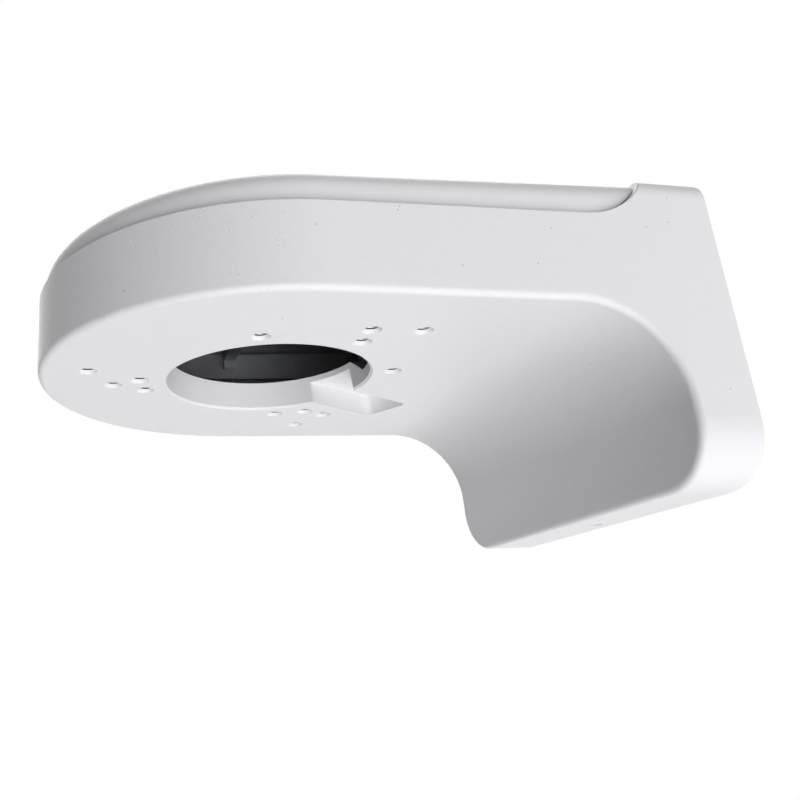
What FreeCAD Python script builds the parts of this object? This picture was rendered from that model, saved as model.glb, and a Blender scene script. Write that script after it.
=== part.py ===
import FreeCAD, Part
import math
import os

# Wall bracket for a dome or turret camera. A hollow cast arm with a round end carries the camera
# on its underside and sweeps down into a wall flange. A separate cast cover closes the arm from
# above. The arm hooks on a steel plate that is screwed to the wall, and a set screw locks it.
# All sizes are in millimetres. The wall is the plane y = 0, the arm points along -Y, and the
# origin is the centre of the wall face.

V = FreeCAD.Vector

# Overall form of the arm casting
arm_width = 122.0
arm_reach = 160.0
overall_height = 76.5
arm_depth = 34.3
flange_thickness = 16.5
sweep_radius = 24.0
flange_corner_radius = 14.5
wall_end_top_round = 6.0
lower_edge_round = 1.6
rim_edge_round = 0.4

# Seam between arm and cover: a plane that falls towards the round end, with an arc at the wall
seam_height = 22.6
seam_tilt_degrees = 0.9
seam_arc_radius = 19.9
seam_arc_foot = 34.0
seam_arc_gap = 0.25
crest_round = 1.4
crest_lead_degrees = 12.0

# Walls of the casting
side_wall = 3.6
floor_thickness = 3.5
flange_wall = 3.5
flange_rim = 4.0
bridge_width = 7.0
bridge_thickness = 4.0
cavity_corner = 5.0
draft_degrees = 1.0
sweep_rib_thickness = 2.5
sweep_rib_height = 5.0
sweep_rib_pitch = 26.0
sweep_rib_count = 4
sweep_rib_tail = 10.0

# Cable hole with its collar, and the slot beside it
cable_hole_radius = 28.0
cable_hole_narrowing = 1.1
cable_hole_chamfer = 0.6
collar_height = 8.0
collar_wall = 3.0
collar_notch_start = 0.2
collar_notch_width = 22.0
collar_notch_slope_degrees = 36.0
slot_width = 15.0
slot_end_radius = 52.8
slot_depth = 6.4
slot_corner = 2.2
slot_mouth_round = 1.0
slot_angle = -32.0
slot_wall = 2.2
slot_roof = 1.3

# Tapped holes for the camera: pitch circle, number of holes, angle of the first from the wall
tapped_hole_diameter = 3.3
tapped_hole_depth = 6.6
tapped_hole_chamfer = 0.85
tapped_boss_diameter = 8.0
circle_four_diameter = 68.0
circle_four_angle = 16.0
circle_small_diameter = 70.0
circle_small_angle = 61.5
circle_middle_diameter = 84.0
circle_middle_angle = 67.0
circle_large_diameter = 98.0
circle_large_angle = 53.0

# Cover
cover_inset = 1.5
cover_drop = 0.6
cover_tilt_degrees = 1.8
cover_top_round = 6.0
cover_wall = 2.8
cover_boss_diameter = 11.5
cover_skirt_depth = 2.5
cover_skirt_thickness = 1.6
cover_rib_thickness = 3.6
cover_rib_depth = 3.5
cover_rib_leg = 2.0
web_thickness = 2.0
web_gap = 2.0

# Seal between cover and arm
seal_thickness = 0.6
seal_edge_margin = 0.2

# Screws that hold the cover
cover_screw_diameter = 4.0
cover_screw_grip = 10.0
cover_screw_hole_spare = 2.0
cover_screw_head_diameter = 7.0
cover_screw_head_height = 4.0
cover_screw_socket = 3.0
cover_screw_socket_depth = 2.2
cover_screw_head_chamfer = 0.4
cover_screw_boss_diameter = 9.0
cover_screw_sideways = 46.5
cover_screw_wall_end = 49.0
cover_screw_seat = 2.6
cover_screw_end_radius = 46.5
cover_screw_end_angle = 140.0
counterbore_diameter = 8.2
washer_diameter = 7.8
washer_thickness = 1.0

# Wall plate with its two hooks and its lock tab
plate_width = 96.0
plate_height = 58.0
plate_thickness = 2.0
plate_corner = 5.0
plate_cable_hole_diameter = 34.0
plate_hole_diameter = 5.2
plate_holes_across = 80.0
plate_holes_upright = 42.0
hook_width = 12.0
hook_spacing = 52.0
hook_reach = 7.0
hook_rise = 6.0
hook_height = 18.0
lock_tab_width = 12.0
lock_tab_reach = 8.0
lip_spare_width = 4.0

# Lock screw and seal at the wall
lock_screw_diameter = 3.0
lock_screw_length = 6.4
lock_screw_recess = 0.8
lock_screw_socket = 1.5
lock_screw_from_wall = 6.0
wall_seal_width = 1.8
wall_seal_depth = 1.5

# Clearances
loose_clearance = 0.4
close_clearance = 0.3
thread_clearance = 0.05

# Places that follow from the sizes above
half_width = arm_width / 2
top_z = overall_height / 2
bottom_z = -overall_height / 2
underside_z = top_z - arm_depth
seam_z = underside_z + seam_height
seam_tilt = math.radians(seam_tilt_degrees)
cover_tilt = math.radians(cover_tilt_degrees)
floor_z = underside_z + floor_thickness
end_y = -(arm_reach - half_width)
arc_centre_y = -seam_arc_foot - seam_arc_radius * math.sin(seam_tilt)
arc_centre_z = seam_z + seam_arc_radius * math.cos(seam_tilt)
crest_z = top_z - crest_round * math.cos(math.radians(crest_lead_degrees))
arc_end_angle = math.degrees(math.asin((crest_z - arc_centre_z) / (seam_arc_radius + crest_round)))
crest_y = arc_centre_y + (seam_arc_radius + crest_round) * math.cos(math.radians(arc_end_angle))
crest_back_y = crest_y - crest_round * math.sin(math.radians(crest_lead_degrees))
arc_end_y = arc_centre_y + seam_arc_radius * math.cos(math.radians(arc_end_angle))
bridge_front_y = -seam_arc_foot - bridge_width
draft = math.tan(math.radians(draft_degrees))
tiny = 0.001


def seam_at(y):
    """Height of the seam plane at a distance from the wall."""
    return seam_z + (y + seam_arc_foot) * math.tan(seam_tilt)


def cover_top_at(y):
    return top_z - cover_drop + (y - arc_end_y) * math.tan(cover_tilt)


def ceiling_at(y):
    return cover_top_at(y) - cover_wall


def line(a, b):
    return Part.LineSegment(a, b).toShape()


def arc(a, middle, b):
    return Part.Arc(a, middle, b).toShape()


def quarter(centre, radius, first, last, place):
    """Arc of a circle between two angles in degrees, put in its plane by place(u, v)."""
    angles = [first, (first + last) / 2, last]
    points = []
    for angle in angles:
        turn = math.radians(angle)
        points.append(place(centre[0] + radius * math.cos(turn), centre[1] + radius * math.sin(turn)))
    return arc(points[0], points[1], points[2])


def in_side_view(y, z):
    return V(0, y, z)


def prism(wire, direction):
    return Part.Face(wire).extrude(direction)


def across(edges, width):
    """Side-view outline made solid over a width, centred on x = 0."""
    slab = prism(Part.Wire(edges), V(width, 0, 0))
    slab.translate(V(-width / 2, 0, 0))
    return slab


def end_point(radius, angle, z):
    """Point around the cable hole; the angle is 0 towards the wall and grows towards +X."""
    turn = math.radians(angle)
    return V(radius * math.sin(turn), end_y + radius * math.cos(turn), z)


def stadium(half, back_y, z):
    """Plan outline with a round end away from the wall and a straight end at back_y."""
    return Part.Wire([
        line(V(half, back_y, z), V(half, end_y, z)),
        arc(V(half, end_y, z), V(0, end_y - half, z), V(-half, end_y, z)),
        line(V(-half, end_y, z), V(-half, back_y, z)),
        line(V(-half, back_y, z), V(half, back_y, z)),
    ])


def soft_stadium(half, back_y, corner, z):
    """The same outline with rounded corners at its straight end."""
    low = back_y - corner
    side = half - corner
    slant = corner * math.sqrt(0.5)
    return Part.Wire([
        line(V(half, low, z), V(half, end_y, z)),
        arc(V(half, end_y, z), V(0, end_y - half, z), V(-half, end_y, z)),
        line(V(-half, end_y, z), V(-half, low, z)),
        arc(V(-half, low, z), V(-side - slant, low + slant, z), V(-side, back_y, z)),
        line(V(-side, back_y, z), V(side, back_y, z)),
        arc(V(side, back_y, z), V(side + slant, low + slant, z), V(half, low, z)),
    ])


def rounded_upright(inset, top_round, bottom_round, y):
    """Flange outline seen from the wall, drawn in by inset on every side."""
    side = half_width - inset
    low = bottom_z + inset
    high = top_z - inset

    def place(x, z):
        return V(x, y, z)

    def turn(x, z, radius, first):
        return quarter((x, z), radius, first, first + 90, place)

    return Part.Wire([
        line(place(side, low + bottom_round), place(side, high - top_round)),
        turn(side - top_round, high - top_round, top_round, 0),
        line(place(side - top_round, high), place(-side + top_round, high)),
        turn(-side + top_round, high - top_round, top_round, 90),
        line(place(-side, high - top_round), place(-side, low + bottom_round)),
        turn(-side + bottom_round, low + bottom_round, bottom_round, 180),
        line(place(-side + bottom_round, low), place(side - bottom_round, low)),
        turn(side - bottom_round, low + bottom_round, bottom_round, 270),
    ])


def free_edges(faces):
    """Edges that belong to only one of the given faces."""
    found = []
    for face in faces:
        for edge in face.Edges:
            twins = [other for other in found if other.isSame(edge)]
            if twins:
                found.remove(twins[0])
            else:
                found.append(edge)
    return found


def is_flat_at(face, low, high, value):
    return abs(low - value) < tiny and abs(high - value) < tiny


def is_round_of(face, radius):
    return isinstance(face.Surface, Part.Cylinder) and abs(face.Surface.Radius - radius) < tiny


def drafted(wire_low, wire_high):
    return Part.makeLoft([wire_low, wire_high], True, True)


def sweep_arc(offset, first, last):
    """Arc of the sweep between underside and flange, moved into the metal by offset."""
    centre = (-flange_thickness - sweep_radius, underside_z - sweep_radius)
    return quarter(centre, sweep_radius + offset, first, last, in_side_view)


def seam_arc(offset, last):
    """Arc of the seam at the wall end of the cover, moved towards the wall by offset."""
    first = -90 + seam_tilt_degrees
    return quarter((arc_centre_y, arc_centre_z), seam_arc_radius + offset, first, last, in_side_view)


def slab_above_seam(lift, back_y):
    """Space over a plane parallel to the seam, from the round end to back_y."""
    high = top_z + cover_top_round
    return across([
        line(V(0, -arm_reach, seam_at(-arm_reach) + lift), V(0, back_y, seam_at(back_y) + lift)),
        line(V(0, back_y, seam_at(back_y) + lift), V(0, back_y, high)),
        line(V(0, back_y, high), V(0, -arm_reach, high)),
        line(V(0, -arm_reach, high), V(0, -arm_reach, seam_at(-arm_reach) + lift)),
    ], arm_width)


def arm_outside():
    """Outer form: the side view, the plan and the view from the wall, all three met."""
    sweep_low = underside_z - sweep_radius
    sweep_start = -flange_thickness - sweep_radius
    side_view = across([
        line(V(0, 0, bottom_z), V(0, -flange_thickness, bottom_z)),
        line(V(0, -flange_thickness, bottom_z), V(0, -flange_thickness, sweep_low)),
        sweep_arc(0, 0, 90),
        line(V(0, sweep_start, underside_z), V(0, -arm_reach, underside_z)),
        line(V(0, -arm_reach, underside_z), V(0, -arm_reach, seam_at(-arm_reach))),
        line(V(0, -arm_reach, seam_at(-arm_reach)), V(0, -seam_arc_foot, seam_z)),
        seam_arc(0, arc_end_angle),
        quarter((crest_y, crest_z), crest_round, arc_end_angle + 180, crest_lead_degrees + 90, in_side_view),
        line(V(0, crest_back_y, top_z), V(0, 0, top_z)),
        line(V(0, 0, top_z), V(0, 0, bottom_z)),
    ], arm_width)
    plan = prism(stadium(half_width, 0, bottom_z), V(0, 0, overall_height))
    wall_view = prism(rounded_upright(0, wall_end_top_round, flange_corner_radius, 0), V(0, -arm_reach, 0))
    body = side_view.common(plan).common(wall_view).removeSplitter()
    skin = [face for face in body.Faces
            if is_flat_at(face, face.BoundBox.ZMin, face.BoundBox.ZMax, underside_z)
            or is_flat_at(face, face.BoundBox.YMin, face.BoundBox.YMax, -flange_thickness)
            or is_round_of(face, sweep_radius)]
    body = body.makeFillet(lower_edge_round, free_edges(skin))
    seat = [face for face in body.Faces
            if abs(face.CenterOfMass.z - seam_at(face.CenterOfMass.y)) < tiny
            or is_round_of(face, seam_arc_radius)]
    return body.makeFillet(rim_edge_round, free_edges(seat))


def tray_cavity():
    """Hollow of the arm, open at the top, with draft on its walls."""
    deep = seam_z - floor_z
    low_half = half_width - side_wall - deep * draft
    low_back = bridge_front_y - deep * draft
    low = soft_stadium(low_half, low_back, cavity_corner, floor_z)
    high = soft_stadium(half_width - side_wall, bridge_front_y, cavity_corner, seam_z)
    return drafted(low, high)


def flange_cavity():
    """Hollow of the flange, open at the wall and running on under the bridge into the arm."""
    length = -bridge_front_y + cavity_corner
    inner_top_round = wall_end_top_round - flange_rim
    inner_low_round = flange_corner_radius - flange_rim
    at_wall = rounded_upright(flange_rim, inner_top_round, inner_low_round, 0)
    inside = rounded_upright(flange_rim + length * draft, inner_top_round, inner_low_round, -length)
    block = drafted(at_wall, inside)
    reach = seam_arc_radius + bridge_thickness
    ceiling = top_z - flange_rim
    ceiling_angle = math.degrees(math.asin((ceiling - arc_centre_z) / reach))
    ceiling_y = arc_centre_y + reach * math.cos(math.radians(ceiling_angle))
    under_bridge = arc_centre_z - reach * math.cos(seam_tilt)
    under_arc_y = arc_centre_y + reach * math.sin(seam_tilt)
    front_y = -flange_thickness + flange_wall
    sweep_low = underside_z - sweep_radius
    sweep_start = -flange_thickness - sweep_radius
    lower = bottom_z + flange_rim
    side_view = across([
        line(V(0, 0, lower), V(0, front_y, lower)),
        line(V(0, front_y, lower), V(0, front_y, sweep_low)),
        sweep_arc(floor_thickness, 0, 90),
        line(V(0, sweep_start, floor_z), V(0, -length, floor_z)),
        line(V(0, -length, floor_z), V(0, -length, under_bridge)),
        line(V(0, -length, under_bridge), V(0, under_arc_y, under_bridge)),
        seam_arc(bridge_thickness, ceiling_angle),
        line(V(0, ceiling_y, ceiling), V(0, 0, ceiling)),
        line(V(0, 0, ceiling), V(0, 0, lower)),
    ], arm_width)
    return block.common(side_view)


def sweep_ribs():
    """Upright ribs that stiffen the bend between arm and flange."""
    front_y = -flange_thickness + flange_wall
    rise = sweep_rib_height
    sweep_low = underside_z - sweep_radius
    sweep_start = -flange_thickness - sweep_radius
    tail_y = sweep_start - sweep_rib_tail
    lower = bottom_z + flange_rim / 2
    root = floor_thickness / 2
    edges = [
        line(V(0, front_y - root, lower), V(0, front_y - root, sweep_low)),
        sweep_arc(floor_thickness - root, 0, 90),
        line(V(0, sweep_start, floor_z - root), V(0, tail_y - rise, floor_z - root)),
        line(V(0, tail_y - rise, floor_z - root), V(0, tail_y, floor_z + rise)),
        line(V(0, tail_y, floor_z + rise), V(0, sweep_start, floor_z + rise)),
        sweep_arc(floor_thickness + rise, 90, 0),
        line(V(0, front_y + rise, sweep_low), V(0, front_y + rise, lower + rise)),
        line(V(0, front_y + rise, lower + rise), V(0, front_y - root, lower)),
    ]
    ribs = []
    for number in range(sweep_rib_count):
        rib = across(edges, sweep_rib_thickness)
        rib.translate(V((number - (sweep_rib_count - 1) / 2) * sweep_rib_pitch, 0, 0))
        ribs.append(rib)
    return ribs


def hook_lips():
    """Lips that hang from the roof of the flange and drop behind the hooks of the wall plate."""
    ceiling = top_z - flange_rim
    lip_back = plate_thickness + loose_clearance
    lip_depth = hook_reach - plate_thickness - 2 * loose_clearance
    low = hook_height + plate_thickness / 2 + close_clearance
    width = hook_width + lip_spare_width
    lips = []
    for side in (-1, 1):
        corner = V(side * hook_spacing / 2 - width / 2, -lip_back - lip_depth, low)
        lips.append(Part.makeBox(width, lip_depth, ceiling + flange_rim / 2 - low, corner))
    return lips


def slot_outline(grow, near_y, z):
    """Slot from near_y out to its closed end, drawn towards +Y before it is turned."""
    half = slot_width / 2 + grow
    far_y = slot_end_radius + grow
    corner = slot_corner + grow
    slant = corner * (1 - math.sqrt(0.5))
    return Part.Wire([
        line(V(-half, near_y, z), V(half, near_y, z)),
        line(V(half, near_y, z), V(half, far_y - corner, z)),
        arc(V(half, far_y - corner, z), V(half - slant, far_y - slant, z), V(half - corner, far_y, z)),
        line(V(half - corner, far_y, z), V(-half + corner, far_y, z)),
        arc(V(-half + corner, far_y, z), V(-half + slant, far_y - slant, z), V(-half, far_y - corner, z)),
        line(V(-half, far_y - corner, z), V(-half, near_y, z)),
    ])


def turned_slot(grow, near_y, low, high):
    block = prism(slot_outline(grow, near_y, low), V(0, 0, high - low))
    block.rotate(V(0, 0, 0), V(0, 0, 1), -slot_angle)
    block.translate(V(0, end_y, 0))
    return block


def hole_frustum(radius, low, high, narrowing):
    return Part.makeCone(radius, radius - narrowing, high - low, V(0, end_y, low))


def cable_cut():
    """Cable hole and side slot in one, with soft corners where they meet."""
    top = underside_z + collar_height
    hole = hole_frustum(cable_hole_radius, underside_z, top, cable_hole_narrowing)
    slot = turned_slot(0, cable_hole_radius - collar_wall, underside_z, underside_z + slot_depth)
    both = hole.fuse(slot).removeSplitter()
    meeting = [edge for edge in both.Edges
               if edge.BoundBox.ZLength > slot_depth - tiny and edge.BoundBox.ZLength < slot_depth + tiny
               and abs(math.hypot(edge.CenterOfMass.x, edge.CenterOfMass.y - end_y) - cable_hole_radius)
               < cable_hole_narrowing]
    return both.makeFillet(slot_mouth_round, meeting)


def collar_notch():
    """Gap in the collar towards the wall, with sloping sides, where the cable goes over to the flange."""
    rise = collar_height
    spread = rise / math.tan(math.radians(collar_notch_slope_degrees))
    left = collar_notch_start
    right = left + collar_notch_width
    outline = Part.makePolygon([
        V(left, end_y, floor_z),
        V(right, end_y, floor_z),
        V(right + spread, end_y, floor_z + rise),
        V(left - spread, end_y, floor_z + rise),
        V(left, end_y, floor_z),
    ])
    return prism(outline, V(0, cable_hole_radius + collar_wall, 0))


def tapped_places():
    """Places of all tapped holes, circle by circle."""
    circles = [
        (circle_four_diameter, 4, circle_four_angle),
        (circle_small_diameter, 3, circle_small_angle),
        (circle_middle_diameter, 3, circle_middle_angle),
        (circle_large_diameter, 3, circle_large_angle),
    ]
    places = []
    for diameter, count, first in circles:
        for number in range(count):
            places.append(end_point(diameter / 2, first + number * 360 / count, underside_z))
    return places


def cover_screw_places():
    places = []
    for side in (-1, 1):
        places.append(V(side * cover_screw_sideways, -cover_screw_wall_end, 0))
        places.append(end_point(cover_screw_end_radius, side * cover_screw_end_angle, 0))
    return places


def screw_seat_at(place):
    """Height of the floor of the counterbore in the cover."""
    return seam_at(place.y) + seal_thickness + cover_screw_seat


def upright_cylinder(diameter, place, low, high):
    return Part.makeCylinder(diameter / 2, high - low, V(place.x, place.y, low))


def wall_web(place, low, high, half):
    """Web that ties a screw boss to the side wall along the shortest way."""
    if place.y > end_y:
        direction = V(1 if place.x > 0 else -1, 0, 0)
        length = half - abs(place.x)
    else:
        outward = V(place.x, place.y - end_y, 0)
        length = half - outward.Length
        direction = outward.normalize()
    web = Part.makeBox(length, web_thickness, high - low, V(0, -web_thickness / 2, low))
    web.rotate(V(0, 0, 0), V(0, 0, 1), math.degrees(math.atan2(direction.y, direction.x)))
    web.translate(V(place.x, place.y, 0))
    return web


def seal_groove(inset, width, depth):
    """Ring in the face that meets the wall."""
    top_round = wall_end_top_round - inset
    low_round = flange_corner_radius - inset
    outer = rounded_upright(inset, top_round, low_round, 0)
    inner = rounded_upright(inset + width, top_round - width, low_round - width, 0)
    ring = Part.Face(outer).cut(Part.Face(inner))
    return ring.extrude(V(0, -depth, 0))


def make_arm():
    body = arm_outside()
    body = body.cut(tray_cavity()).cut(flange_cavity())
    collar_top = underside_z + collar_height
    boss_root = underside_z + floor_thickness / 2
    collar = hole_frustum(cable_hole_radius + collar_wall, floor_z - tiny, collar_top, draft * collar_height)
    slot_top = underside_z + slot_depth + slot_roof
    added = [collar.cut(collar_notch()), turned_slot(slot_wall, cable_hole_radius, boss_root, slot_top)]
    for place in tapped_places():
        added.append(upright_cylinder(tapped_boss_diameter, place, boss_root, collar_top))
    for place in cover_screw_places():
        boss = upright_cylinder(cover_screw_boss_diameter, place, boss_root, seam_z)
        added.append(boss.cut(slab_above_seam(0, bridge_front_y)))
        added.append(wall_web(place, boss_root, seam_at(place.y) - cover_skirt_depth - web_gap,
                              half_width - side_wall / 2))
    added += sweep_ribs()
    added += hook_lips()
    body = body.multiFuse(added)
    cuts = [
        cable_cut(),
        hole_frustum(cable_hole_radius + cable_hole_chamfer, underside_z,
                     underside_z + cable_hole_chamfer, cable_hole_chamfer),
        seal_groove((flange_rim - wall_seal_width) / 2, wall_seal_width, wall_seal_depth),
        Part.makeCylinder(lock_screw_diameter / 2 + close_clearance / 2, flange_rim + lower_edge_round,
                          V(0, -lock_screw_from_wall, bottom_z)),
    ]
    for place in tapped_places():
        cuts.append(upright_cylinder(tapped_hole_diameter, place, underside_z,
                                     underside_z + tapped_hole_depth))
        mouth = tapped_hole_diameter / 2 + tapped_hole_chamfer
        cuts.append(Part.makeCone(mouth, tapped_hole_diameter / 2, tapped_hole_chamfer, place))
    for place in cover_screw_places():
        cuts.append(upright_cylinder(cover_screw_diameter + 2 * thread_clearance, place,
                                     seam_at(place.y) - cover_screw_grip - cover_screw_hole_spare, seam_z))
    return body.cut(Part.makeCompound(cuts)).removeSplitter()


def cover_space():
    """Space that the cover may fill: above the seal, and up to the arc at the wall end."""
    wall_end = Part.makeBox(arm_width, -arc_centre_y, overall_height, V(-half_width, arc_centre_y, 0))
    curve = Part.makeCylinder(seam_arc_radius - seam_arc_gap, arm_width,
                              V(-half_width, arc_centre_y, arc_centre_z), V(1, 0, 0))
    return slab_above_seam(seal_thickness, 0).cut(wall_end.cut(curve))


def domed_stadium(half, drop, edge_round):
    """Stadium block under a roof that falls towards the round end, with its long top edge rounded."""
    low = seam_at(-arm_reach) - cover_skirt_depth
    block = prism(stadium(half, 0, low), V(0, 0, top_z - low))
    roof_end = cover_top_at(-arm_reach) - drop
    roof_wall = cover_top_at(0) - drop
    above = across([
        line(V(0, -arm_reach, roof_end), V(0, 0, roof_wall)),
        line(V(0, 0, roof_wall), V(0, 0, top_z + edge_round)),
        line(V(0, 0, top_z + edge_round), V(0, -arm_reach, top_z + edge_round)),
        line(V(0, -arm_reach, top_z + edge_round), V(0, -arm_reach, roof_end)),
    ], arm_width)
    block = block.cut(above)
    top = [face for face in block.Faces
           if abs(face.CenterOfMass.z - cover_top_at(face.CenterOfMass.y) + drop) < tiny]
    edges = [edge for edge in top[0].Edges if edge.BoundBox.YMin < -tiny]
    return block.makeFillet(edge_round, edges)


def make_cover():
    outer_half = half_width - cover_inset
    inner_half = outer_half - cover_wall
    space = cover_space()
    shell = domed_stadium(outer_half, 0, cover_top_round)
    shell = shell.cut(domed_stadium(inner_half, cover_wall, cover_top_round - cover_wall)).common(space)
    room = domed_stadium(outer_half - cover_wall / 2, cover_wall / 2, cover_top_round - cover_wall / 2)

    # Cross wall over the bridge of the arm, where the seal runs from side to side
    low = seam_at(bridge_front_y)
    cross = Part.makeBox(arm_width, cover_wall, top_z - low, V(-half_width, bridge_front_y, low))
    added = [cross.common(room).common(space)]

    # Skirt that drops inside the wall of the arm and centres the cover
    skirt_half = half_width - side_wall - loose_clearance
    skirt_back = bridge_front_y - loose_clearance
    skirt_low = seam_at(-arm_reach) - cover_skirt_depth
    outer = soft_stadium(skirt_half, skirt_back, cavity_corner, skirt_low)
    inner = soft_stadium(skirt_half - cover_skirt_thickness, skirt_back - cover_skirt_thickness,
                         cavity_corner - cover_skirt_thickness, skirt_low)
    ring = Part.Face(outer).cut(Part.Face(inner)).extrude(V(0, 0, top_z - skirt_low))
    added.append(ring.common(slab_above_seam(-cover_skirt_depth, bridge_front_y)).common(room))

    # Rib across the roof and down both sides, where the round end begins
    foot = seam_at(end_y)
    front = end_y - cover_rib_thickness / 2
    open_half = skirt_half - cover_skirt_thickness - cover_rib_leg
    plate = Part.makeBox(arm_width, cover_rib_thickness, top_z - foot, V(-half_width, front, foot))
    opening = Part.makeBox(2 * open_half, cover_rib_thickness, ceiling_at(end_y) - cover_rib_depth - foot,
                           V(-open_half, front, foot))
    added.append(plate.cut(opening).common(room).common(space))

    # Bosses for the screws, and the webs that hold them
    for place in cover_screw_places():
        ceiling = ceiling_at(place.y)
        boss = upright_cylinder(cover_boss_diameter, place, seam_at(place.y), ceiling + cover_wall / 2)
        added.append(boss.common(space))
        web = wall_web(place, seam_at(place.y) + seal_thickness + web_gap, ceiling + cover_wall / 2,
                       inner_half + cover_wall / 2)
        added.append(web.common(room))
    body = shell.multiFuse(added)
    cuts = []
    for place in cover_screw_places():
        seam = seam_at(place.y)
        seat = screw_seat_at(place)
        cuts.append(upright_cylinder(cover_screw_diameter + 2 * close_clearance, place, seam, seat))
        cuts.append(upright_cylinder(counterbore_diameter, place, seat, top_z))
        notch = upright_cylinder(cover_screw_boss_diameter + 2 * loose_clearance, place,
                                 seam - 2 * cover_skirt_depth, seam + cover_skirt_depth)
        cuts.append(notch.cut(slab_above_seam(seal_thickness, 0)))
    return body.cut(Part.makeCompound(cuts)).removeSplitter()


def make_cover_seal():
    """Flat rubber ring on the rim of the arm, under the edge of the cover."""
    outer_half = half_width - cover_inset - seal_edge_margin
    inner_half = half_width - side_wall + seal_edge_margin
    outer_back = bridge_front_y + cover_wall - seal_edge_margin
    inner_back = bridge_front_y + seal_edge_margin
    corner = cavity_corner + outer_half - inner_half
    low = seam_at(-arm_reach)
    outer = soft_stadium(outer_half, outer_back, corner, low)
    inner = soft_stadium(inner_half, inner_back, cavity_corner, low)
    ring = Part.Face(outer).cut(Part.Face(inner)).extrude(V(0, 0, top_z - low))
    return ring.common(slab_above_seam(0, 0)).cut(slab_above_seam(seal_thickness, 0))


def hexagon(across_flats, place, low, high):
    radius = across_flats / math.sqrt(3)
    corners = []
    for number in range(7):
        turn = math.radians(60 * number)
        corners.append(V(place.x + radius * math.cos(turn), place.y + radius * math.sin(turn), low))
    return prism(Part.makePolygon(corners), V(0, 0, high - low))


def make_cover_screw(place):
    """Socket screw that stands on its sealing washer in the counterbore."""
    seat_z = screw_seat_at(place) + washer_thickness
    head = upright_cylinder(cover_screw_head_diameter, place, seat_z, seat_z + cover_screw_head_height)
    rims = [edge for edge in head.Edges if edge.BoundBox.ZMin > seat_z + tiny]
    head = head.makeChamfer(cover_screw_head_chamfer, rims)
    shank = upright_cylinder(cover_screw_diameter, place, seam_at(place.y) - cover_screw_grip, seat_z)
    screw = head.fuse(shank)
    head_top = seat_z + cover_screw_head_height
    socket = hexagon(cover_screw_socket, place, head_top - cover_screw_socket_depth, head_top)
    return screw.cut(socket).removeSplitter()


def make_washer(place):
    floor = screw_seat_at(place)
    disc = upright_cylinder(washer_diameter, place, floor, floor + washer_thickness)
    return disc.cut(upright_cylinder(cover_screw_diameter + 2 * thread_clearance, place, floor,
                                     floor + washer_thickness))


def make_wall_plate():
    """Stamped steel plate with two hooks at its upper part and a tab for the lock screw."""
    half = plate_width / 2
    plate_low = bottom_z + flange_rim + loose_clearance
    sheet = Part.makeBox(plate_width, plate_thickness, plate_height, V(-half, -plate_thickness, plate_low))
    corners = [edge for edge in sheet.Edges
               if edge.BoundBox.XLength < tiny and edge.BoundBox.ZLength < tiny]
    sheet = sheet.makeFillet(plate_corner, corners)
    added = []
    for side in (-1, 1):
        left = side * hook_spacing / 2 - hook_width / 2
        low = hook_height - plate_thickness / 2
        added.append(Part.makeBox(hook_width, hook_reach, plate_thickness,
                                  V(left, -plate_thickness - hook_reach, low)))
        added.append(Part.makeBox(hook_width, plate_thickness, hook_rise,
                                  V(left, -plate_thickness - hook_reach, low)))
    added.append(Part.makeBox(lock_tab_width, lock_tab_reach, plate_thickness,
                              V(-lock_tab_width / 2, -plate_thickness - lock_tab_reach, plate_low)))
    plate = sheet.multiFuse(added)
    back = V(0, 1, 0)
    cuts = [Part.makeCylinder(plate_cable_hole_diameter / 2, plate_thickness,
                              V(0, -plate_thickness, 0), back)]
    for side in (-1, 1):
        for level in (-1, 1):
            place = V(side * plate_holes_across / 2, -plate_thickness, level * plate_holes_upright / 2)
            cuts.append(Part.makeCylinder(plate_hole_diameter / 2, plate_thickness, place, back))
    cuts.append(Part.makeCylinder(lock_screw_diameter / 2 + thread_clearance, plate_thickness,
                                  V(0, -lock_screw_from_wall, plate_low)))
    return plate.cut(Part.makeCompound(cuts)).removeSplitter()


def make_lock_screw():
    """Set screw through the lower edge of the flange into the tab of the wall plate."""
    place = V(0, -lock_screw_from_wall, 0)
    low = bottom_z + lock_screw_recess
    screw = upright_cylinder(lock_screw_diameter, place, low, low + lock_screw_length)
    return screw.cut(hexagon(lock_screw_socket, place, low, low + lock_screw_socket))


def make_wall_seal():
    width = wall_seal_width - 2 * thread_clearance
    return seal_groove((flange_rim - width) / 2, width, wall_seal_depth)


pieces = {
    "arm_casting": make_arm(),
    "top_cover": make_cover(),
    "cover_seal": make_cover_seal(),
    "wall_plate": make_wall_plate(),
    "wall_seal": make_wall_seal(),
    "lock_screw": make_lock_screw(),
}
for number, place in enumerate(cover_screw_places(), start=1):
    pieces["cover_screw_" + str(number)] = make_cover_screw(place)
    pieces["screw_washer_" + str(number)] = make_washer(place)

os.makedirs("parts", exist_ok=True)
for name, shape in pieces.items():
    shape.exportStep("parts/" + name + ".step")
    print(name, "solids", len(shape.Solids), "volume", round(shape.Volume, 1), "valid", shape.isValid())
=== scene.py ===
import math

import bmesh
import bpy
from mathutils import Matrix, Vector


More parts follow.
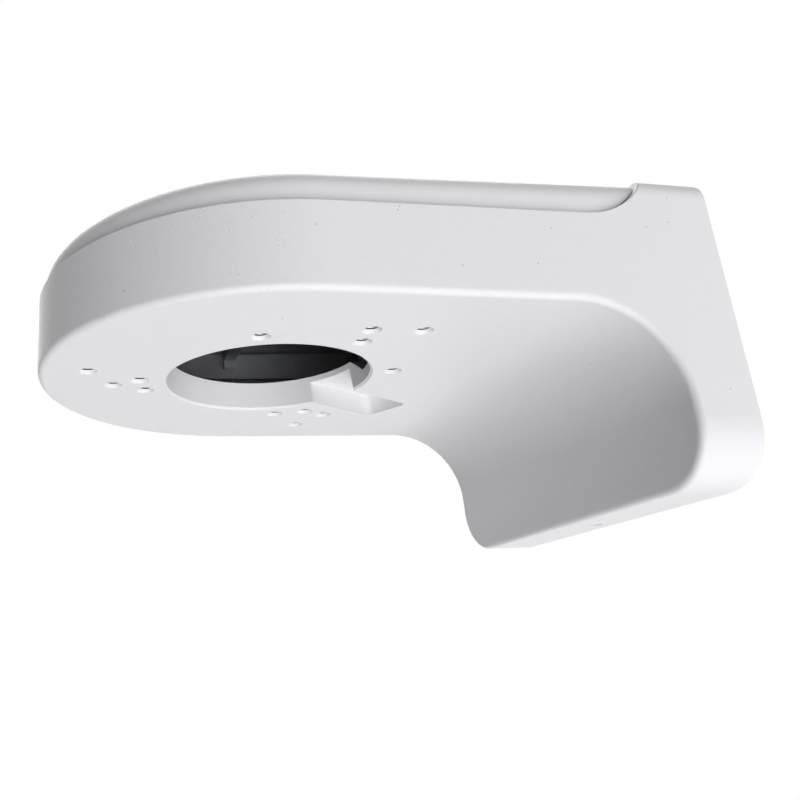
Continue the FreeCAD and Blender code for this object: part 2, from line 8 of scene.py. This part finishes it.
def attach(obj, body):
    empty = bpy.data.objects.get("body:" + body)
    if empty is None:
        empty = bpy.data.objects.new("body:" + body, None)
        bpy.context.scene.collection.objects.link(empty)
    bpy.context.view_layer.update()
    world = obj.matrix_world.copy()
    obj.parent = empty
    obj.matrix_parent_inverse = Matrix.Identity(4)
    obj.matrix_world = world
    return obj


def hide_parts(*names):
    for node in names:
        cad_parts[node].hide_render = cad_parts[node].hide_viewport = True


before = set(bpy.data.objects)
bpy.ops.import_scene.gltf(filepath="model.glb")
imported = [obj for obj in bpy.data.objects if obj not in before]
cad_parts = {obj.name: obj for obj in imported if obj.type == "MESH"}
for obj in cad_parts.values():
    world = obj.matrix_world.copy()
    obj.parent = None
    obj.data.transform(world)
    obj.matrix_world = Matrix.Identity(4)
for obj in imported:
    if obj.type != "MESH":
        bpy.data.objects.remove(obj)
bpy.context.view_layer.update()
mm = 0.001
mergeDistance = 0.0005 * mm
print("frame loaded:", len(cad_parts), "nodes")


# Colours, nodes and materials

def hexColour(text):
    # sRGB hex to the linear values that the shaders work with
    channels = [int(text[i:i + 2], 16) / 255 for i in (0, 2, 4)]
    linear = [c / 12.92 if c <= 0.04045 else ((c + 0.055) / 1.055) ** 2.4 for c in channels]
    return (*linear, 1.0)


def addNode(tree, kind, settings=None, links=None):
    # settings name an input or a property of the node, links name an input and say where it comes from
    node = tree.nodes.new(kind)
    for name, value in (settings or {}).items():
        if isinstance(name, int) or name in node.inputs:
            node.inputs[name].default_value = value
        else:
            setattr(node, name, value)
    for name, (source, output) in (links or {}).items():
        tree.links.new(source.outputs[output], node.inputs[name])
    return node


def newMaterial(name):
    material = bpy.data.materials.new(name)
    material.use_nodes = True
    tree = material.node_tree
    tree.nodes.clear()
    coords = addNode(tree, "ShaderNodeTexCoord")
    output = addNode(tree, "ShaderNodeOutputMaterial")
    return material, tree, coords, output


powderCoat = {
    "colour": "ecebee",
    "shade": "e8e7ea",        # in the slightly thinner hollows of the skin
    "roughness": 0.46,
    "roughnessSpread": 0.10,
    "ior": 1.5,
    "peelSize": 1.6 * mm,     # width of one wave of the orange peel
    "peelDepth": 0.006 * mm,
    "grainSize": 0.45 * mm,   # baked powder grain, drawn about twice as coarse as it is so that it shows
    "grainDepth": 0.006 * mm,
    "nibSpacing": 1.3 * mm,   # grains that stand proud of the coat, in loose groups
    "nibTop": 0.05,           # of the spacing
    "nibReach": 0.27,         # of the spacing; drawn about twice as wide as they are so that they show
    "nibHeight": 0.08 * mm,
    "nibShare": 0.65,
    "nibGroup": 18.0 * mm,
    "nibGroupLevel": 0.48,    # a little over half of the coat lies in a group
    "nibStart": -102.0 * mm,  # they gather on the round end, where the powder was laid on thickest
    "dirtShare": 0.004,       # dark specks baked into the coat
    "dirtColour": "bcb9b5",
}


def makePowderCoat():
    # White polyester powder coat on die-cast aluminium: satin, a faint orange peel, a few nibs and specks
    p = powderCoat
    material, tree, coords, output = newMaterial("whitePowderCoat")
    peel = addNode(tree, "ShaderNodeTexNoise",
                   {"Scale": 1 / p["peelSize"], "Detail": 2.0, "Roughness": 0.4},
                   {"Vector": (coords, "Object")})
    grain = addNode(tree, "ShaderNodeTexNoise", {"Scale": 1 / p["grainSize"], "Detail": 1.0},
                    {"Vector": (coords, "Object")})

    # Each cell of the pattern holds one spot, which its chance makes a nib, a dark speck or nothing
    cells = addNode(tree, "ShaderNodeTexVoronoi", {"Scale": 1 / p["nibSpacing"], "feature": "F1"},
                    {"Vector": (coords, "Object")})
    spot = addNode(tree, "ShaderNodeMapRange",
                   {"From Min": p["nibTop"], "From Max": p["nibReach"], "To Min": 1.0, "To Max": 0.0},
                   {"Value": (cells, "Distance")})
    chance = addNode(tree, "ShaderNodeSeparateColor", {}, {"Color": (cells, "Color")})
    dirty = addNode(tree, "ShaderNodeMath", {"operation": "GREATER_THAN", 1: 1 - p["dirtShare"]},
                    {0: (chance, "Red")})
    dirt = addNode(tree, "ShaderNodeMath", {"operation": "MULTIPLY"},
                   {0: (spot, "Result"), 1: (dirty, "Value")})
    group = addNode(tree, "ShaderNodeTexNoise", {"Scale": 1 / p["nibGroup"], "Detail": 1.0},
                    {"Vector": (coords, "Object")})
    inGroup = addNode(tree, "ShaderNodeMath", {"operation": "GREATER_THAN", 1: p["nibGroupLevel"]},
                      {0: (group, "Fac")})
    place = addNode(tree, "ShaderNodeSeparateXYZ", {}, {"Vector": (coords, "Object")})
    atEnd = addNode(tree, "ShaderNodeMath", {"operation": "LESS_THAN", 1: p["nibStart"]},
                    {0: (place, "Y")})
    proud = addNode(tree, "ShaderNodeMath", {"operation": "LESS_THAN", 1: p["nibShare"]},
                    {0: (chance, "Red")})
    grouped = addNode(tree, "ShaderNodeMath", {"operation": "MULTIPLY"},
                      {0: (inGroup, "Value"), 1: (proud, "Value")})
    nibs = addNode(tree, "ShaderNodeMath", {"operation": "MULTIPLY"},
                   {0: (grouped, "Value"), 1: (atEnd, "Value")})
    nib = addNode(tree, "ShaderNodeMath", {"operation": "MULTIPLY"},
                  {0: (spot, "Result"), 1: (nibs, "Value")})

    skin = addNode(tree, "ShaderNodeMix",
                   {"data_type": "RGBA", 6: hexColour(p["colour"]), 7: hexColour(p["shade"])},
                   {0: (peel, "Fac")})
    colour = addNode(tree, "ShaderNodeMix", {"data_type": "RGBA", 7: hexColour(p["dirtColour"])},
                     {0: (dirt, "Value"), 6: (skin, 2)})
    rough = addNode(tree, "ShaderNodeMapRange",
                    {"To Min": p["roughness"] - p["roughnessSpread"] / 2,
                     "To Max": p["roughness"] + p["roughnessSpread"] / 2}, {"Value": (grain, "Fac")})
    peelBump = addNode(tree, "ShaderNodeBump", {"Strength": 1.0, "Distance": p["peelDepth"]},
                       {"Height": (peel, "Fac")})
    grainBump = addNode(tree, "ShaderNodeBump", {"Strength": 1.0, "Distance": p["grainDepth"]},
                        {"Height": (grain, "Fac"), "Normal": (peelBump, "Normal")})
    nibBump = addNode(tree, "ShaderNodeBump", {"Strength": 1.0, "Distance": p["nibHeight"]},
                      {"Height": (nib, "Value"), "Normal": (grainBump, "Normal")})
    paint = addNode(tree, "ShaderNodeBsdfPrincipled", {"IOR": p["ior"]},
                    {"Base Color": (colour, 2), "Roughness": (rough, "Result"),
                     "Normal": (nibBump, "Normal")})
    tree.links.new(paint.outputs[0], output.inputs["Surface"])
    return material


sealRubber = {
    "colour": "1b1b1a",
    "dust": "2e2d2b",
    "roughness": 0.78,
    "ior": 1.52,
    "grainSize": 0.4 * mm,
    "grainDepth": 0.01 * mm,
}


def makeSealRubber():
    # Black moulded EPDM: dull, with a fine matt grain and a little dust in it
    p = sealRubber
    material, tree, coords, output = newMaterial("blackSealRubber")
    grain = addNode(tree, "ShaderNodeTexNoise", {"Scale": 1 / p["grainSize"], "Detail": 3.0},
                    {"Vector": (coords, "Object")})
    colour = addNode(tree, "ShaderNodeMix",
                     {"data_type": "RGBA", 6: hexColour(p["colour"]), 7: hexColour(p["dust"])},
                     {0: (grain, "Fac")})
    bump = addNode(tree, "ShaderNodeBump", {"Strength": 1.0, "Distance": p["grainDepth"]},
                   {"Height": (grain, "Fac")})
    rubber = addNode(tree, "ShaderNodeBsdfPrincipled", {"Roughness": p["roughness"], "IOR": p["ior"]},
                     {"Base Color": (colour, 2), "Normal": (bump, "Normal")})
    tree.links.new(rubber.outputs[0], output.inputs["Surface"])
    return material


zincPlate = {
    "colour": "9da2a8",
    "cloud": "878c93",
    "roughness": 0.48,
    "roughnessSpread": 0.16,
    "cloudSize": 9.0 * mm,
    "rollSpacing": 0.35 * mm,   # rolling lines of the sheet, drawn coarser than they are so that they show
    "rollStretch": 0.04,        # the lines run on along X
    "rollDepth": 0.003 * mm,
}


def makeZincPlate():
    # Cold-rolled sheet steel, electroplated with zinc: bluish grey, cloudy, with faint rolling lines
    p = zincPlate
    material, tree, coords, output = newMaterial("zincPlatedSheet")
    cloud = addNode(tree, "ShaderNodeTexNoise", {"Scale": 1 / p["cloudSize"], "Detail": 5.0},
                    {"Vector": (coords, "Object")})
    stretch = addNode(tree, "ShaderNodeMapping", {"Scale": (p["rollStretch"], 1.0, 1.0)},
                      {"Vector": (coords, "Object")})
    lines = addNode(tree, "ShaderNodeTexNoise", {"Scale": 1 / p["rollSpacing"], "Detail": 2.0},
                    {"Vector": (stretch, "Vector")})
    colour = addNode(tree, "ShaderNodeMix",
                     {"data_type": "RGBA", 6: hexColour(p["colour"]), 7: hexColour(p["cloud"])},
                     {0: (cloud, "Fac")})
    rough = addNode(tree, "ShaderNodeMapRange",
                    {"To Min": p["roughness"] - p["roughnessSpread"] / 2,
                     "To Max": p["roughness"] + p["roughnessSpread"] / 2}, {"Value": (cloud, "Fac")})
    bump = addNode(tree, "ShaderNodeBump", {"Strength": 1.0, "Distance": p["rollDepth"]},
                   {"Height": (lines, "Fac")})
    zinc = addNode(tree, "ShaderNodeBsdfPrincipled", {"Metallic": 1.0},
                   {"Base Color": (colour, 2), "Roughness": (rough, "Result"), "Normal": (bump, "Normal")})
    tree.links.new(zinc.outputs[0], output.inputs["Surface"])
    return material


stainless = {
    "colour": "c4c2be",
    "roughness": 0.28,
    "grainSize": 0.3 * mm,
    "grainDepth": 0.002 * mm,
}


def makeStainless():
    # Cold-headed stainless screws: bright, slightly warm, with a fine tumbled surface
    p = stainless
    material, tree, coords, output = newMaterial("stainlessScrewSteel")
    grain = addNode(tree, "ShaderNodeTexNoise", {"Scale": 1 / p["grainSize"], "Detail": 2.0},
                    {"Vector": (coords, "Object")})
    bump = addNode(tree, "ShaderNodeBump", {"Strength": 1.0, "Distance": p["grainDepth"]},
                   {"Height": (grain, "Fac")})
    steel = addNode(tree, "ShaderNodeBsdfPrincipled",
                    {"Metallic": 1.0, "Base Color": hexColour(p["colour"]), "Roughness": p["roughness"]},
                    {"Normal": (bump, "Normal")})
    tree.links.new(steel.outputs[0], output.inputs["Surface"])
    return material


bareAluminium = {
    "colour": "b6b7ba",
    "oxide": "8f9094",
    "roughness": 0.36,
    "grainSize": 0.5 * mm,
}


def makeBareAluminium():
    # Die-cast aluminium bared by the tap: grey, fresh and shiny, duller where it has oxidised
    p = bareAluminium
    material, tree, coords, output = newMaterial("tappedAluminium")
    oxide = addNode(tree, "ShaderNodeTexNoise", {"Scale": 1 / p["grainSize"], "Detail": 3.0},
                    {"Vector": (coords, "Object")})
    colour = addNode(tree, "ShaderNodeMix",
                     {"data_type": "RGBA", 6: hexColour(p["colour"]), 7: hexColour(p["oxide"])},
                     {0: (oxide, "Fac")})
    metal = addNode(tree, "ShaderNodeBsdfPrincipled", {"Metallic": 1.0, "Roughness": p["roughness"]},
                    {"Base Color": (colour, 2)})
    tree.links.new(metal.outputs[0], output.inputs["Surface"])
    return material


# Grey of the bare insides, kept darker than the coat to paint the shade inside the hollow as well
castSkinAndShade = {
    "colour": "a0a1a4",
    "flow": "86878b",
    "roughness": 0.46,
    "roughnessSpread": 0.12,
    "flowSize": 14.0 * mm,      # cold-flow clouds of the melt
    "pitSize": 0.8 * mm,
    "pitDepth": 0.02 * mm,
}


def makeCastSkinAndShade():
    # Inside of the die castings, left bare of powder: dull grey aluminium, flow clouds, fine pits, kept
    # darker than the white coat so that it also paints the shade inside the hollow
    p = castSkinAndShade
    material, tree, coords, output = newMaterial("rawDieCastAluminiumAndShade")
    flow = addNode(tree, "ShaderNodeTexNoise",
                   {"Scale": 1 / p["flowSize"], "Detail": 4.0, "Distortion": 0.6},
                   {"Vector": (coords, "Object")})
    pits = addNode(tree, "ShaderNodeTexNoise", {"Scale": 1 / p["pitSize"], "Detail": 2.0},
                   {"Vector": (coords, "Object")})
    colour = addNode(tree, "ShaderNodeMix",
                     {"data_type": "RGBA", 6: hexColour(p["colour"]), 7: hexColour(p["flow"])},
                     {0: (flow, "Fac")})
    rough = addNode(tree, "ShaderNodeMapRange",
                    {"To Min": p["roughness"] - p["roughnessSpread"] / 2,
                     "To Max": p["roughness"] + p["roughnessSpread"] / 2}, {"Value": (flow, "Fac")})
    bump = addNode(tree, "ShaderNodeBump", {"Strength": 1.0, "Distance": p["pitDepth"]},
                   {"Height": (pits, "Fac")})
    metal = addNode(tree, "ShaderNodeBsdfPrincipled", {"Metallic": 1.0},
                    {"Base Color": (colour, 2), "Roughness": (rough, "Result"), "Normal": (bump, "Normal")})
    tree.links.new(metal.outputs[0], output.inputs["Surface"])
    return material


whitePaint = makePowderCoat()
rubber = makeSealRubber()
zinc = makeZincPlate()
screwSteel = makeStainless()
tappedMetal = makeBareAluminium()
# the bare metal of the insides, which also paints the shade inside the hollow of the castings
rawMetalAndShade = makeCastSkinAndShade()
print("materials made")


# Finishes of the CAD nodes that are shown as they are

def finishNode(node, material):
    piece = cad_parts[node]
    piece.data.materials.clear()
    piece.data.materials.append(material)


finishNode("cover_seal", rubber)
finishNode("wall_seal", rubber)
finishNode("wall_plate", zinc)
finishNode("lock_screw", screwSteel)
for number in (1, 2, 3, 4):
    finishNode("cover_screw_%d" % number, screwSteel)
    finishNode("screw_washer_%d" % number, rubber)
print("finishes set")


# Castings, painted outside and bare inside; the darker bare metal also paints the shade inside the hollow

castings = {
    "holeCentre": (0.0, -99.0 * mm),
    "holeRadius": 28.2 * mm,        # just outside the painted wall of the cable hole
    "floor": 7.45 * mm,
    "seamFoot": -34.0 * mm,         # where the flat of the seam ends and its arc begins
    "seamHeight": 26.55 * mm,       # at the foot; it falls towards the round end
    "seamTilt": 0.9,                # degrees
    "seamGap": 0.6 * mm,            # thickness of the seal under the cover
    "arcRadius": 19.9 * mm,         # of the arm's side of the arc
    "arcGap": 0.25 * mm,
    "lockHole": (0.0, -6.0 * mm),
    "lockHoleReach": 1.8 * mm,
    "lockHoleTop": -33.0 * mm,
    "screws": [(46.5 * mm, -49.0 * mm), (29.89 * mm, -134.62 * mm)],
    "screwHoleReach": 2.5 * mm,
    "roofHeight": 31.0 * mm,        # the inside of the cover's roof lies above this
    "roofEnd": -60.0 * mm,          # and a first face of it beyond this
    "near": 0.05 * mm,
    "nearFloor": 0.01 * mm,
    "level": 0.99,                  # a face whose normal has this much along Z is level
    "aboutLevel": 0.9,              # also where it is tilted with the seam
    "leaning": 0.5,                 # the walls of the cable hole have less than this
}


def awayFrom(point, place):
    return math.hypot(point.x - place[0], point.y - place[1])


def seamAt(y):
    p = castings
    return p["seamHeight"] + (y - p["seamFoot"]) * math.tan(math.radians(p["seamTilt"]))


def isArmFloor(face):
    p = castings
    height = face.calc_center_median().z
    return face.normal.z > p["level"] and abs(height - p["floor"]) < p["nearFloor"]


def endsArmInside(face):
    # Faces where the bare inside of the arm stops, whose darker metal also paints the shade in the hollow:
    # wall face, cable hole, seat of the seal, lock screw hole
    p = castings
    middle = face.calc_center_median()
    atWall = middle.y > -p["near"]
    inHole = awayFrom(middle, p["holeCentre"]) < p["holeRadius"] and face.normal.z < p["leaning"]
    onSeat = face.normal.z > p["aboutLevel"] and abs(middle.z - seamAt(middle.y)) < p["near"]
    inLockHole = awayFrom(middle, p["lockHole"]) < p["lockHoleReach"] and middle.z < p["lockHoleTop"]
    return atWall or inHole or onSeat or inLockHole


def isCoverRoof(face):
    p = castings
    middle = face.calc_center_median()
    return face.normal.z < -p["level"] and middle.z > p["roofHeight"] and middle.y < p["roofEnd"]


def endsCoverInside(face):
    # The same for the cover: its edge on the seal, its arc at the wall end, and the four screw holes
    p = castings
    middle = face.calc_center_median()
    sealTop = seamAt(middle.y) + p["seamGap"]
    onSeal = face.normal.z < -p["aboutLevel"] and abs(middle.z - sealTop) < p["near"]
    tilt = math.radians(p["seamTilt"])
    axisY = p["seamFoot"] - p["arcRadius"] * math.sin(tilt)
    axisZ = p["seamHeight"] + p["arcRadius"] * math.cos(tilt)
    coverArc = p["arcRadius"] - p["arcGap"]
    onArc = abs(math.hypot(middle.y - axisY, middle.z - axisZ) - coverArc) < p["near"]
    inScrewHole = any(awayFrom(middle, (side * x, y)) < p["screwHoleReach"]
                      for x, y in p["screws"] for side in (-1, 1))
    return onSeal or onArc or inScrewHole


def makeCasting(node, name, isStart, isEnd):
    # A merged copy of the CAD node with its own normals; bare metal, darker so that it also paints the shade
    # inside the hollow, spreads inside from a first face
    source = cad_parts[node].data
    data = source.copy()
    data.name = name
    data.materials.clear()
    data.materials.append(whitePaint)
    data.materials.append(rawMetalAndShade)
    kept = data.attributes.new("cadNormal", "FLOAT_VECTOR", "CORNER")
    for corner, normal in zip(kept.data, source.corner_normals):
        corner.vector = normal.vector
    mesh = bmesh.new()
    mesh.from_mesh(data)
    bmesh.ops.remove_doubles(mesh, verts=mesh.verts, dist=mergeDistance)
    mesh.normal_update()
    todo = [face for face in mesh.faces if isStart(face)][:1]
    inside = set()
    while todo:
        face = todo.pop()
        if face not in inside and not isEnd(face):
            inside.add(face)
            todo += [near for edge in face.edges for near in edge.link_faces]
    for face in mesh.faces:
        face.material_index = 1 if face in inside else 0
    mesh.to_mesh(data)
    mesh.free()
    data.normals_split_custom_set([corner.vector for corner in data.attributes["cadNormal"].data])
    data.attributes.remove(data.attributes["cadNormal"])
    piece = bpy.data.objects.new(name, data)
    bpy.context.scene.collection.objects.link(piece)
    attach(piece, "root")
    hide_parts(node)
    print(name, "bare faces:", len(inside), "of", len(data.polygons))


makeCasting("arm_casting", "paintedArmCasting", isArmFloor, endsArmInside)
makeCasting("top_cover", "paintedTopCover", isCoverRoof, endsCoverInside)
print("castings painted")


# Threads in the tapped holes

tappedHoles = {
    "centre": (0.0, -99.0 * mm),      # middle of the cable hole
    "underside": 3.95 * mm,
    "circles": [                      # pitch circle, number of holes, first angle from the wall
        (68.0 * mm, 4, 16.0),
        (70.0 * mm, 3, 61.5),
        (84.0 * mm, 3, 67.0),
        (98.0 * mm, 3, 53.0),
    ],
    "mouth": 0.9 * mm,                # where the painted countersink ends
    "depth": 6.55 * mm,
    "pointAngle": 118.0,              # of the drill, degrees
    "wall": 1.645 * mm,
    "backing": 1.70 * mm,
    "closing": 0.03 * mm,             # thickness of the lining at the drill point
    "pitch": 0.7 * mm,
    "crest": 1.43 * mm,
    "firstTurn": 0.02 * mm,           # behind the mouth
    "ridgeFoot": 0.5 * mm,
    "crestEdges": (0.42, 0.58),       # of the foot
    "steps": 18,                      # faces around one turn
    "sharpAngle": 35.0,               # degrees
}


def tappedPlaces():
    p = tappedHoles
    x, y = p["centre"]
    for diameter, count, first in p["circles"]:
        for number in range(count):
            turn = math.radians(first + number * 360 / count)
            yield (x + diameter / 2 * math.sin(turn), y + diameter / 2 * math.cos(turn))


def profileFace(mesh, corners):
    # Closed outline in the X-Z plane, with one face
    points = [mesh.verts.new((r, 0, z)) for r, z in corners]
    return mesh.faces.new(points)


def threadedHole():
    # One hole's bare lining with its drill point, and the ridge of the thread wound up inside it
    p = tappedHoles
    wall, backing, crest = p["wall"], p["backing"], p["crest"]
    mesh = bmesh.new()
    pointStart = p["depth"] - wall / math.tan(math.radians(p["pointAngle"] / 2))
    bottom = p["depth"] + p["closing"]
    lining = profileFace(mesh, [(wall, p["mouth"]), (wall, pointStart), (0, p["depth"]),
                                (0, bottom), (backing, bottom), (backing, p["mouth"])])
    bmesh.ops.spin(mesh, geom=[lining, *lining.edges, *lining.verts], cent=(0, 0, 0), axis=(0, 0, 1),
                   angle=2 * math.pi, steps=p["steps"], use_merge=True, use_duplicate=False)
    bmesh.ops.delete(mesh, geom=[f for f in mesh.faces if len(f.verts) > 4], context="FACES_ONLY")
    bmesh.ops.remove_doubles(mesh, verts=mesh.verts, dist=mergeDistance)

    turns = (pointStart - p["mouth"] - p["ridgeFoot"]) / p["pitch"]
    count = int(turns * p["steps"])
    foot = p["mouth"] + p["firstTurn"]
    crestStart, crestEnd = [foot + p["ridgeFoot"] * share for share in p["crestEdges"]]
    footEnd = foot + p["ridgeFoot"]
    ridge = profileFace(mesh, [(backing, foot), (wall, foot), (crest, crestStart),
                               (crest, crestEnd), (wall, footEnd), (backing, footEnd)])
    bmesh.ops.spin(mesh, geom=[ridge, *ridge.edges, *ridge.verts], cent=(0, 0, 0), axis=(0, 0, 1),
                   dvec=(0, 0, p["pitch"] / p["steps"]), angle=2 * math.pi * count / p["steps"],
                   steps=count, use_merge=False, use_duplicate=False)
    bmesh.ops.recalc_face_normals(mesh, faces=mesh.faces)
    return mesh


def makeTappedThreads():
    single = threadedHole()
    pattern = bpy.data.meshes.new("tappedHolePattern")
    single.to_mesh(pattern)
    single.free()
    whole = bmesh.new()
    for x, y in tappedPlaces():
        before = set(whole.verts)
        whole.from_mesh(pattern)
        fresh = [v for v in whole.verts if v not in before]
        bmesh.ops.translate(whole, vec=(x, y, tappedHoles["underside"]), verts=fresh)
    data = bpy.data.meshes.new("tappedHoleThreads")
    whole.to_mesh(data)
    whole.free()
    bpy.data.meshes.remove(pattern)
    piece = bpy.data.objects.new("tappedHoleThreads", data)
    bpy.context.scene.collection.objects.link(piece)
    data.materials.append(tappedMetal)
    data.shade_smooth()
    data.set_sharp_from_angle(angle=math.radians(tappedHoles["sharpAngle"]))
    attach(piece, "root")


makeTappedThreads()
print("threads cut")


# Studio

studio = {
    "fill": 0.0,                  # the room itself gives no light on the object, the lamps do
    "floorColour": "f4f4f3",
    "floorRoughness": 0.8,
    "floorHeight": -1.6,          # the bracket hangs high on a wall and is seen from below
    "floorSize": 4.0,
    "floorGlow": 0.82,            # for the camera, metal and glass only
    "aim": (0.0, -0.07, 0.0),
    "lamps": [                    # name, place, size, watts
        ("lowSideSoftbox", (0.90, -0.08, -0.90), 1.4, 17.4),
        ("highSideSoftbox", (0.90, -0.08, 0.85), 1.3, 3.4),
        ("wallSoftbox", (0.30, 1.10, 0.35), 1.3, 6.5),
        ("lowWallSoftbox", (0.20, 0.70, -0.95), 1.1, 3.0),
        ("backSoftbox", (0.90, 0.85, -0.10), 1.3, 1.4),
        ("farSoftbox", (-1.20, -0.08, 0.0), 1.5, 1.6),
        ("highFarSoftbox", (-0.85, -0.08, 0.85), 1.3, 12.0),
    ],
}


def addLamp(name, place, size, watts):
    light = bpy.data.lights.new(name, "AREA")
    light.shape = "SQUARE"
    light.size = size
    light.energy = watts
    lamp = bpy.data.objects.new(name, light)
    bpy.context.scene.collection.objects.link(lamp)
    lamp.location = place
    lamp.rotation_euler = (Vector(studio["aim"]) - Vector(place)).to_track_quat("-Z", "Y").to_euler()
    lamp.visible_camera = False


def directlySeen(tree):
    # 1 for what the camera, metal and glass see, 0 for the light that reaches the object
    path = addNode(tree, "ShaderNodeLightPath")
    seen = addNode(tree, "ShaderNodeMath", {"operation": "MAXIMUM"},
                   {0: (path, "Is Camera Ray"), 1: (path, "Is Glossy Ray")})
    return addNode(tree, "ShaderNodeMath", {"operation": "MAXIMUM"},
                   {0: (seen, "Value"), 1: (path, "Is Transmission Ray")})


def lightTheRoom():
    # No light on the object, while the camera, metal and glass see a white room
    world = bpy.data.worlds.new("whiteRoom")
    bpy.context.scene.world = world
    world.use_nodes = True
    tree = world.node_tree
    tree.nodes.clear()
    strength = addNode(tree, "ShaderNodeMapRange", {"To Min": studio["fill"], "To Max": 1.0},
                       {"Value": (directlySeen(tree), "Value")})
    room = addNode(tree, "ShaderNodeBackground", {"Color": (1, 1, 1, 1)},
                   {"Strength": (strength, "Result")})
    addNode(tree, "ShaderNodeOutputWorld", {}, {"Surface": (room, 0)})


def makeFloor():
    # Pale painted board, so far below that hardly any shadow of the object shows on it
    mesh = bmesh.new()
    bmesh.ops.create_grid(mesh, x_segments=1, y_segments=1, size=studio["floorSize"] / 2,
                          matrix=Matrix.Translation((0, 0, studio["floorHeight"])))
    data = bpy.data.meshes.new("studioFloor")
    mesh.to_mesh(data)
    mesh.free()
    floor = bpy.data.objects.new("studioFloor", data)
    bpy.context.scene.collection.objects.link(floor)
    material, tree, _, output = newMaterial("paleStudioFloor")
    glow = addNode(tree, "ShaderNodeMath", {"operation": "MULTIPLY", 1: studio["floorGlow"]},
                   {0: (directlySeen(tree), "Value")})
    paint = addNode(tree, "ShaderNodeBsdfPrincipled",
                    {"Base Color": hexColour(studio["floorColour"]),
                     "Roughness": studio["floorRoughness"],
                     "Emission Color": hexColour(studio["floorColour"])},
                    {"Emission Strength": (glow, "Value")})
    tree.links.new(paint.outputs[0], output.inputs["Surface"])
    data.materials.append(material)


lightTheRoom()
for lamp in studio["lamps"]:
    addLamp(*lamp)
makeFloor()
print("studio lit")


# Camera

photoCamera = {
    "place": (0.21639, -0.15283, -0.06821),
    "turn": (109.3125, 3.8354, 76.4717),      # degrees
    "lens": 38.457,
    "sensor": 36.0,
    "shift": (0.15, -0.05),
    "clip": (0.01, 20.0),
}


def addCamera():
    p = photoCamera
    data = bpy.data.cameras.new("photoCamera")
    data.lens = p["lens"]
    data.sensor_width = p["sensor"]
    data.shift_x, data.shift_y = p["shift"]
    data.clip_start, data.clip_end = p["clip"]
    camera = bpy.data.objects.new("photoCamera", data)
    bpy.context.scene.collection.objects.link(camera)
    camera.location = p["place"]
    camera.rotation_euler = [math.radians(a) for a in p["turn"]]
    bpy.context.scene.camera = camera


addCamera()
bpy.context.scene.view_settings.view_transform = "Standard"
print("camera placed")
